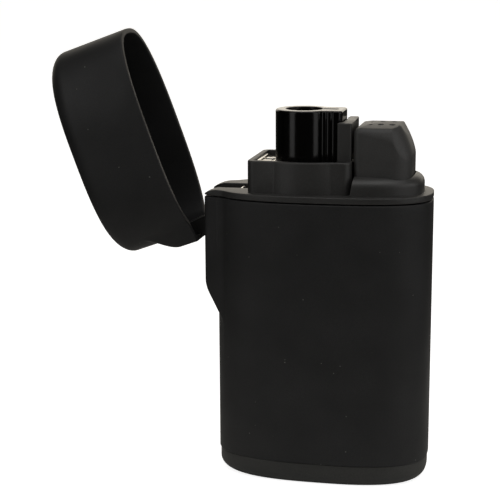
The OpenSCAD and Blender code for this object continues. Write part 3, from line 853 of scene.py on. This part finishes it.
class Nodes:
    """Small helper that adds nodes to a tree and links their sockets by name."""

    def __init__(self, tree):
        self.tree = tree
        tree.nodes.clear()

    def add(self, kind, **values):
        node = self.tree.nodes.new(kind)
        for name, value in values.items():
            setattr(node, name, value)
        return node

    def link(self, source, target):
        self.tree.links.new(source, target)

    def feed(self, target, value):
        """Gives a socket its value: another socket to link, or a plain value."""
        if isinstance(value, bpy.types.NodeSocket):
            self.link(value, target)
        elif value is not None:
            target.default_value = value

    def fill(self, node, **values):
        """Gives several sockets of a node their values, with _ for a space in a name."""
        for name, value in values.items():
            self.feed(node.inputs[name.replace("_", " ")], value)
        return node

    def maths(self, operation, first, second=None, clamp=False):
        node = self.add("ShaderNodeMath", operation=operation, use_clamp=clamp)
        for socket, value in zip(node.inputs, (first, second)):
            self.feed(socket, value)
        return node.outputs[0]

    def noise(self, place, scale, **values):
        node = self.add("ShaderNodeTexNoise")
        return self.fill(node, Vector=place, Scale=scale, **values).outputs["Fac"]

    def remap(self, value, start, end, low, high, kind="LINEAR"):
        """Takes a value from between start and end to between low and high."""
        node = self.add("ShaderNodeMapRange", interpolation_type=kind)
        for name, source in (("Value", value), ("From Min", start), ("From Max", end),
                             ("To Min", low), ("To Max", high)):
            self.feed(node.inputs[name], source)
        return node.outputs["Result"]

    def blend(self, mask, first, second):
        """Mix of two colours, each a socket or three numbers, by a mask."""
        node = self.add("ShaderNodeMix", data_type="RGBA")
        self.link(mask, node.inputs["Factor"])
        for index, value in ((6, first), (7, second)):
            socket = isinstance(value, bpy.types.NodeSocket)
            self.feed(node.inputs[index], value if socket else (*value, 1))
        return node.outputs[2]


def group(name, inputs, outputs, fill):
    """Shader group with named inputs and outputs, built once. `fill` wires its inside."""
    tree = bpy.data.node_groups.get(name)
    if tree is not None:
        return tree
    tree = bpy.data.node_groups.new(name, "ShaderNodeTree")
    for label, kind, default in inputs:
        socket = tree.interface.new_socket(label, in_out="INPUT", socket_type=kind)
        if default is not None:
            socket.default_value = default
    for label in outputs:
        tree.interface.new_socket(label, in_out="OUTPUT", socket_type="NodeSocketFloat")
    nodes = Nodes(tree)
    start, end = nodes.add("NodeGroupInput"), nodes.add("NodeGroupOutput")
    fill(nodes, start.outputs, end.inputs)
    return tree


VECTOR, NUMBER = "NodeSocketVector", "NodeSocketFloat"


def moulded_grain():
    """Fine spark-eroded grain of moulded plastic, with a slow drift of tone."""
    def fill(nodes, given, out):
        fine = nodes.noise(given["Position"], nodes.maths("DIVIDE", 1, given["Size"]),
                           Detail=3, Roughness=0.6)
        slow = nodes.noise(given["Position"], nodes.maths("DIVIDE", 0.02, given["Size"]), Detail=2)
        nodes.link(fine, out["Height"])
        nodes.link(nodes.maths("MULTIPLY", nodes.maths("MULTIPLY", fine, slow), 2, clamp=True),
                   out["Tone"])
    return group("moulded_grain", [("Position", VECTOR, None), ("Size", NUMBER, 0.0002)],
                 ["Height", "Tone"], fill)


def dust_specks():
    """Sparse pinpoint specks of dust."""
    def fill(nodes, given, out):
        cells = nodes.fill(nodes.add("ShaderNodeTexVoronoi"), Vector=given["Position"],
                           Scale=nodes.maths("DIVIDE", 1, given["Spacing"]))
        parts = nodes.add("ShaderNodeSeparateColor")
        nodes.link(cells.outputs["Color"], parts.inputs["Color"])
        chosen = nodes.maths("LESS_THAN", parts.outputs["Red"], given["Share"])
        radius = nodes.maths("MULTIPLY", parts.outputs["Green"], given["Radius"])
        close = nodes.maths("LESS_THAN", cells.outputs["Distance"], radius)
        nodes.link(nodes.maths("MULTIPLY", chosen, close), out["Mask"])
    return group("dust_specks", [("Position", VECTOR, None), ("Spacing", NUMBER, 0.001),
                                 ("Share", NUMBER, 0.1), ("Radius", NUMBER, 0.12)],
                 ["Mask"], fill)


def edge_wear():
    """Rubbed edges: bright where the surface turns sharply outwards, broken by noise."""
    def fill(nodes, given, out):
        shape = nodes.add("ShaderNodeNewGeometry")
        sharp = nodes.maths("SUBTRACT", shape.outputs["Pointiness"], 0.5)
        raised = nodes.maths("MULTIPLY", sharp, given["Gain"], clamp=True)
        patch_scale = 900
        patches = nodes.noise(given["Position"], patch_scale)
        nodes.link(nodes.maths("MULTIPLY", raised, patches, clamp=True), out["Mask"])
    return group("edge_wear", [("Position", VECTOR, None), ("Gain", NUMBER, 8.0)], ["Mask"], fill)


def finger_smudge():
    """Uneven shine left by handling."""
    def fill(nodes, given, out):
        patches = nodes.noise(given["Position"], nodes.maths("DIVIDE", 1, given["Size"]),
                              Detail=4, Distortion=0.8)
        nodes.link(nodes.remap(patches, 0.3, 0.7, given["Smooth"], given["Rough"]),
                   out["Roughness"])
    return group("finger_smudge", [("Position", VECTOR, None), ("Size", NUMBER, 0.012),
                                   ("Smooth", NUMBER, 0.4), ("Rough", NUMBER, 0.5)],
                 ["Roughness"], fill)


def drawn_streaks():
    """Fine streaks left by rolling, turning or drawing metal."""
    def fill(nodes, given, out):
        stretch = nodes.fill(nodes.add("ShaderNodeMapping"), Vector=given["Position"],
                             Scale=given["Stretch"])
        nodes.link(nodes.noise(stretch.outputs["Vector"], 1.0, Detail=3), out["Height"])
    return group("drawn_streaks", [("Position", VECTOR, None), ("Stretch", VECTOR, (500, 9000, 9000))],
                 ["Height"], fill)


def finish_name(name):
    """Name of a finish's material, kept apart from the frame's own flat materials."""
    return f"{name}_finish"


def start_material(name):
    """Empty node material with its shader, output and the object's own coordinates."""
    material = bpy.data.materials.new(finish_name(name))
    material.use_nodes = True
    nodes = Nodes(material.node_tree)
    shader, output = nodes.add("ShaderNodeBsdfPrincipled"), nodes.add("ShaderNodeOutputMaterial")
    nodes.link(shader.outputs["BSDF"], output.inputs["Surface"])
    place = nodes.add("ShaderNodeTexCoord").outputs["Object"]
    return material, nodes, shader, place


def effect(nodes, tree, place, **values):
    """Places a shared effect in a material with its own values."""
    return nodes.fill(nodes.add("ShaderNodeGroup", node_tree=tree), Position=place, **values)


def relief(nodes, shader, height, strength, depth):
    """Raises the surface by a height, as a bump of the given depth."""
    bump = nodes.fill(nodes.add("ShaderNodeBump"), Strength=strength, Distance=depth,
                      Height=height)
    nodes.link(bump.outputs["Normal"], shader.inputs["Normal"])


def plastic(name, colour, smooth, rough, grain=0.2 * MM, depth=0.006 * MM, dust=0.0, wear=3.0,
            through=0.0, shine_level=0.5):
    """Moulded plastic: grain, uneven shine, rubbed edges and, where asked, dust."""
    material, nodes, shader, place = start_material(name)
    grains = effect(nodes, moulded_grain(), place, Size=grain)
    shine = effect(nodes, finger_smudge(), place, Smooth=smooth, Rough=rough)
    worn = effect(nodes, edge_wear(), place, Gain=wear)
    darker, lighter = [0.6 * c for c in colour], [1.45 * c for c in colour]
    paint = nodes.blend(grains.outputs["Tone"], darker, lighter)
    paint = nodes.blend(worn.outputs["Mask"], paint, [min(2.2 * c + 0.004, 1) for c in colour])
    if dust:
        specks = effect(nodes, dust_specks(), place, Share=dust)
        paint = nodes.blend(specks.outputs["Mask"], paint,
                            tuple(bpy.context.scene.lighter_finishes.dust))
    nodes.fill(shader, Base_Color=paint, Roughness=shine.outputs["Roughness"], IOR=1.47,
               Specular_IOR_Level=shine_level, Subsurface_Weight=through)
    relief(nodes, shader, grains.outputs["Height"], 0.5, depth)
    return material


def metal(name, colour, smooth, rough, stretch=(600, 6000, 6000), depth=0.002 * MM):
    """Metal with fine streaks, handled shine and a slightly darker tone in its streaks."""
    material, nodes, shader, place = start_material(name)
    streaks = effect(nodes, drawn_streaks(), place, Stretch=stretch)
    shine = effect(nodes, finger_smudge(), place, Size=0.003, Smooth=smooth, Rough=rough)
    paint = nodes.blend(streaks.outputs["Height"], [0.75 * c for c in colour], colour)
    nodes.fill(shader, Base_Color=paint, Roughness=shine.outputs["Roughness"], Metallic=1.0)
    relief(nodes, shader, streaks.outputs["Height"], 0.4, depth)
    return material


def soft_touch():
    """Satin black rubbery coat of the body and lid."""
    return plastic("soft_touch", bpy.context.scene.lighter_finishes.soft_touch, 0.46, 0.6,
                   grain=0.16 * MM, depth=0.004 * MM, dust=0.12, wear=2.5, shine_level=0.3)


def head_plastic():
    """Bare black plastic of the head, slightly warm."""
    return plastic("head_plastic", bpy.context.scene.lighter_finishes.head, 0.38, 0.52,
                   dust=0.03, wear=5.0)


def button_plastic():
    """Plastic of the thumb button, polished a little by use."""
    return plastic("button_plastic", bpy.context.scene.lighter_finishes.button, 0.42, 0.56,
                   wear=5.0, shine_level=0.35)


def base_plastic():
    """Plastic of the base cap, with a coarser grain."""
    return plastic("base_plastic", bpy.context.scene.lighter_finishes.base, 0.4, 0.55,
                   grain=0.26 * MM, depth=0.009 * MM, wear=5.0)


def arm_plastic():
    """Slick black plastic of the hinge arm."""
    return plastic("arm_plastic", (0.014, 0.014, 0.014), 0.3, 0.42)


def adjuster_plastic():
    """Dark grey plastic of the flame adjuster."""
    return plastic("adjuster_plastic", (0.05, 0.05, 0.048), 0.35, 0.5, wear=5.0)


def piezo_plastic():
    """Black plastic of the piezo igniter."""
    return plastic("piezo_plastic", (0.012, 0.012, 0.014), 0.25, 0.4)


def tank_plastic():
    """Smoky plastic of the fuel tank."""
    return plastic("tank_plastic", (0.5, 0.55, 0.53), 0.12, 0.25, grain=0.5 * MM)


def gloss_black():
    """Polished black coat of the chimney."""
    return plastic("gloss_black", bpy.context.scene.lighter_finishes.chimney, 0.12, 0.2,
                   grain=0.6 * MM, depth=0.012 * MM, wear=0.0, shine_level=0.28)


def seal_rubber():
    """Black rubber of the seals."""
    return plastic("seal_rubber", (0.01, 0.01, 0.01), 0.6, 0.8)


def silicone():
    """Milky silicone of the gas hose."""
    return plastic("silicone", (0.65, 0.63, 0.57), 0.35, 0.5, grain=0.6 * MM, through=0.2)


def ceramic():
    """White ceramic of the electrode's insulator and the piezo crystal."""
    return plastic("ceramic", (0.78, 0.76, 0.7), 0.2, 0.35, grain=0.4 * MM, wear=0.5)


def wire_jacket():
    """Red jacket of the ignition wire."""
    return plastic("wire_jacket", (0.4, 0.02, 0.015), 0.35, 0.5, grain=0.4 * MM)


def bright_steel():
    """Bright rolled sheet."""
    return metal("bright_steel", (0.82, 0.8, 0.76), 0.12, 0.28)


def plated_steel():
    """Nickel-plated turned parts."""
    return metal("plated_steel", (0.62, 0.61, 0.58), 0.18, 0.32, stretch=(900, 900, 9000))


def spring_steel():
    """Drawn spring wire."""
    return metal("spring_steel", (0.5, 0.5, 0.5), 0.25, 0.4)


def screw_steel():
    """Zinc-plated screws."""
    return metal("screw_steel", (0.55, 0.55, 0.56), 0.25, 0.42)


def pin_steel():
    """Ground hinge and lever pins."""
    return metal("pin_steel", (0.66, 0.65, 0.63), 0.12, 0.25, stretch=(6000, 600, 6000))


def lever_zinc():
    """Cast zinc of the gas lever."""
    return metal("lever_zinc", (0.42, 0.42, 0.43), 0.4, 0.55, stretch=(3000, 3000, 3000))


def brass():
    """Turned brass of the valves and jet."""
    return metal("brass", (0.72, 0.5, 0.22), 0.2, 0.36, stretch=(900, 900, 9000))


def once(build):
    """Builds a finish the first time that it is asked for, and hands it out after that."""
    def finish():
        return bpy.data.materials.get(finish_name(build.__name__)) or build()
    return finish


FINISHES = {build.__name__: once(build) for build in (
    soft_touch, arm_plastic, base_plastic, head_plastic, button_plastic, adjuster_plastic,
    piezo_plastic, tank_plastic, gloss_black, bright_steel, plated_steel, spring_steel,
    screw_steel, pin_steel, lever_zinc, brass, seal_rubber, silicone, ceramic, wire_jacket)}


class LIGHTER_OT_inner_parts(bpy.types.Operator):
    """Finishes of the valves, igniter, burner and hinge parts that keep their frame shape"""

    bl_idname = "lighter.inner_parts"
    bl_label = "Inner parts"

    def execute(self, context):
        for part in frame["record"]["subparts"]:
            node = frame["nodes"][part["node"]]
            node.data.materials.clear()
            node.data.materials.append(FINISHES[part["material_slot"]]())
        return {"FINISHED"}


# ---- stage ----


class LIGHTER_OT_stage(bpy.types.Operator):
    """Camera, pale floor, room light and softboxes"""

    bl_idname = "lighter.stage"
    bl_label = "Stage"

    def execute(self, context):
        stage = context.scene.lighter_stage
        self.camera(context, stage)
        self.floor(context)
        self.room(context, stage)
        scene = context.scene
        scene.view_settings.view_transform = "Standard"
        scene.view_settings.look = "None"
        # turn and height in degrees, then distance, width and length in metres, and watts
        for values in (("key_left", -52, 22, 0.26, 0.1, 0.32, 0.13),
                       ("key_right", 43, 22, 0.26, 0.09, 0.32, 0.12),
                       ("side_right", 74, 12, 0.4, 0.2, 0.22, 0.2),
                       ("top", 10, 72, 0.7, 0.6, 0.5, 1.7)):
            softbox(*values)
        return {"FINISHED"}

    def camera(self, context, stage):
        """Camera in front of the lighter, a little to its right."""
        camera = bpy.data.objects.new("camera", bpy.data.cameras.new("camera"))
        camera.data.lens = stage.lens
        camera.data.sensor_width = 36
        camera.data.clip_start = 0.01
        camera.location = Vector(stage.aim) + toward(stage.turn, stage.tilt) * stage.distance
        facing = Euler((math.pi / 2 - stage.tilt, 0, stage.turn)).to_matrix()
        rolled = facing @ Matrix.Rotation(stage.roll, 3, "Z")
        camera.rotation_euler = rolled.to_euler()
        context.scene.collection.objects.link(camera)
        context.scene.camera = camera

    def floor(self, context):
        """Wide pale floor, bright to the camera, with a painted pool of light round the lighter."""
        half_span, tiles = 8.0, 9
        mesh = bpy.data.meshes.new("floor")
        bm = bmesh.new()
        bmesh.ops.create_grid(bm, x_segments=tiles, y_segments=tiles, size=half_span)
        bm.to_mesh(mesh)
        bm.free()
        floor = bpy.data.objects.new("floor", mesh)
        floor.location.z = -0.02 * MM
        context.scene.collection.objects.link(floor)
        material, nodes, shader, place = start_material("floor")
        paper = effect(nodes, moulded_grain(), place, Size=0.004)
        tint = nodes.blend(paper.outputs["Tone"], (0.8, 0.8, 0.795), (0.84, 0.84, 0.835))
        seen = nodes.add("ShaderNodeLightPath").outputs["Is Camera Ray"]
        away = nodes.add("ShaderNodeVectorMath", operation="LENGTH")
        nodes.link(place, away.inputs[0])
        # painted light: to all rays but the camera's, the floor's colour is a bright pool near the lighter that
        # fades to dark further out
        near, far = 35 * MM, 150 * MM
        painted_pool_fade = nodes.remap(away.outputs["Value"], near, far, 0.0, 1.0, "SMOOTHSTEP")
        painted_pool_of_light = nodes.blend(painted_pool_fade, (0.75, 0.75, 0.74), (0.03, 0.03, 0.03))
        nodes.fill(shader, Base_Color=nodes.blend(seen, painted_pool_of_light, tint), Roughness=0.9,
                   Specular_IOR_Level=0.1, Emission_Color=(1, 1, 1, 1),
                   Emission_Strength=nodes.maths("MULTIPLY", seen, 0.86))
        mesh.materials.append(material)

    def room(self, context, stage):
        """Dark room with a bright wall behind the lighter, white where the camera sees it."""
        world = bpy.data.worlds.new("room")
        world.use_nodes = True
        nodes = Nodes(world.node_tree)
        back, output = nodes.add("ShaderNodeBackground"), nodes.add("ShaderNodeOutputWorld")
        seen = nodes.add("ShaderNodeLightPath").outputs["Is Camera Ray"]
        facing = nodes.add("ShaderNodeVectorMath", operation="DOT_PRODUCT")
        nodes.link(nodes.add("ShaderNodeTexCoord").outputs["Generated"], facing.inputs[0])
        facing.inputs[1].default_value = toward(stage.turn + math.pi, math.radians(8))
        glow_edge, glow_heart = math.cos(math.radians(55)), math.cos(math.radians(20))
        wall = nodes.remap(facing.outputs["Value"], glow_edge, glow_heart, stage.backdrop,
                           stage.glow, "SMOOTHSTEP")
        nodes.fill(back, Strength=nodes.remap(seen, 0.0, 1.0, wall, 1.0),
                   Color=nodes.blend(seen, (1.0, 0.93, 0.81), (1.0, 1.0, 1.0)))
        nodes.link(back.outputs["Background"], output.inputs["Surface"])
        context.scene.world = world


def toward(turn, height):
    """Direction from the object to a place, turned right of the front and above the horizon."""
    return Vector((math.sin(turn) * math.cos(height), -math.cos(turn) * math.cos(height),
                   math.sin(height)))


def softbox(name, turn, height, distance, width, tall, power):
    """Area light round the head of the lighter, its turn counted from the camera's side."""
    stage = bpy.context.scene.lighter_stage
    lamp = bpy.data.lights.new(name, "AREA")
    lamp.shape, lamp.size, lamp.size_y = "RECTANGLE", width, tall
    lamp.energy, lamp.color = power, (1.0, 0.992, 0.98)
    light = bpy.data.objects.new(name, lamp)
    middle = Vector((0, 0, 50 * MM))
    away = toward(stage.turn + math.radians(turn), math.radians(height))
    light.location = middle + away * distance
    light.rotation_euler = away.to_track_quat("Z", "Y").to_euler()
    bpy.context.scene.collection.objects.link(light)


# ---- add-on ----


class LIGHTER_PT_parts(bpy.types.Panel):
    """Lists the lighter's pieces and its sizes"""

    bl_idname = "LIGHTER_PT_parts"
    bl_label = "Jet lighter"
    bl_space_type = "VIEW_3D"
    bl_region_type = "UI"
    bl_category = "Lighter"

    def draw(self, context):
        column = self.layout.column()
        for operator in OPERATORS:
            column.operator(operator.bl_idname)
        for owner, settings in SETTINGS.items():
            column.label(text=settings.__doc__)
            for name in settings.__annotations__:
                column.prop(getattr(context.scene, owner), name)


SETTINGS = {
    "lighter_body": LighterBody,
    "lighter_head": LighterHead,
    "lighter_lid": LighterLid,
    "lighter_finishes": LighterFinishes,
    "lighter_stage": LighterStage,
}
OPERATORS = (
    LIGHTER_OT_stage,
    LIGHTER_OT_body_shell,
    LIGHTER_OT_base_cap,
    LIGHTER_OT_head_housing,
    LIGHTER_OT_button_guard,
    LIGHTER_OT_thumb_button,
    LIGHTER_OT_chimney,
    LIGHTER_OT_heat_shield,
    LIGHTER_OT_lid,
    LIGHTER_OT_inner_parts,
)


def register():
    for settings in SETTINGS.values():
        bpy.utils.register_class(settings)
    for owner, settings in SETTINGS.items():
        setattr(bpy.types.Scene, owner, PointerProperty(type=settings))
    for operator in OPERATORS:
        bpy.utils.register_class(operator)
    bpy.utils.register_class(LIGHTER_PT_parts)


def unregister():
    bpy.utils.unregister_class(LIGHTER_PT_parts)
    for operator in reversed(OPERATORS):
        bpy.utils.unregister_class(operator)
    for owner in SETTINGS:
        delattr(bpy.types.Scene, owner)
    for settings in reversed(SETTINGS.values()):
        bpy.utils.unregister_class(settings)


def main():
    register()
    lighter = bpy.ops.lighter
    lighter.stage()
    lighter.body_shell()
    lighter.base_cap()
    lighter.head_housing()
    lighter.button_guard()
    lighter.thumb_button()
    lighter.chimney()
    lighter.heat_shield()
    lighter.lid()
    lighter.inner_parts()


if __name__ == "__main__":
    main()
